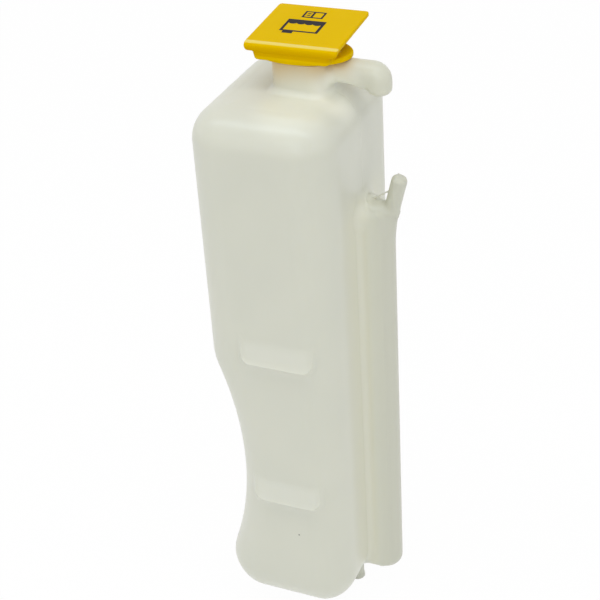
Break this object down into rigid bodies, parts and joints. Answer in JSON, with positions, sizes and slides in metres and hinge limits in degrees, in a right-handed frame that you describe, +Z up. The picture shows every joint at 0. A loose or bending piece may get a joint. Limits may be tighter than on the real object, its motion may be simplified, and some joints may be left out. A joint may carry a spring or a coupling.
{
  "type": "coolant expansion tank",
  "caption": "Tall blown bottle with a scalloped side, a hollow side channel with a hose nipple, an overflow spout on the filler neck and a push-in cap under a folded pull plate.",
  "frame": {"origin": "on the axis of the locating peg, level with the lowest point of the bottle's underside", "axes": "+X towards the side channel, +Y from the face with the level marks to the back, +Z up the bottle"},
  "size_m": [0.1056, 0.1068, 0.3699],
  "materials": {
    "tank": "natural milky blown polyethylene, slightly translucent, satin",
    "cap": "moulded yellow polyethylene, satin gloss"
  },
  "bodies": {
    "bottle": {"tank": "tank"},
    "filler_cap": {"cap": "cap"}
  },
  "joints": [
    {"name": "cap_lift", "type": "slide", "parent": "bottle", "child": "filler_cap", "axis": [0, 0, 1], "range_m": [0, 0.05]}
  ]
}
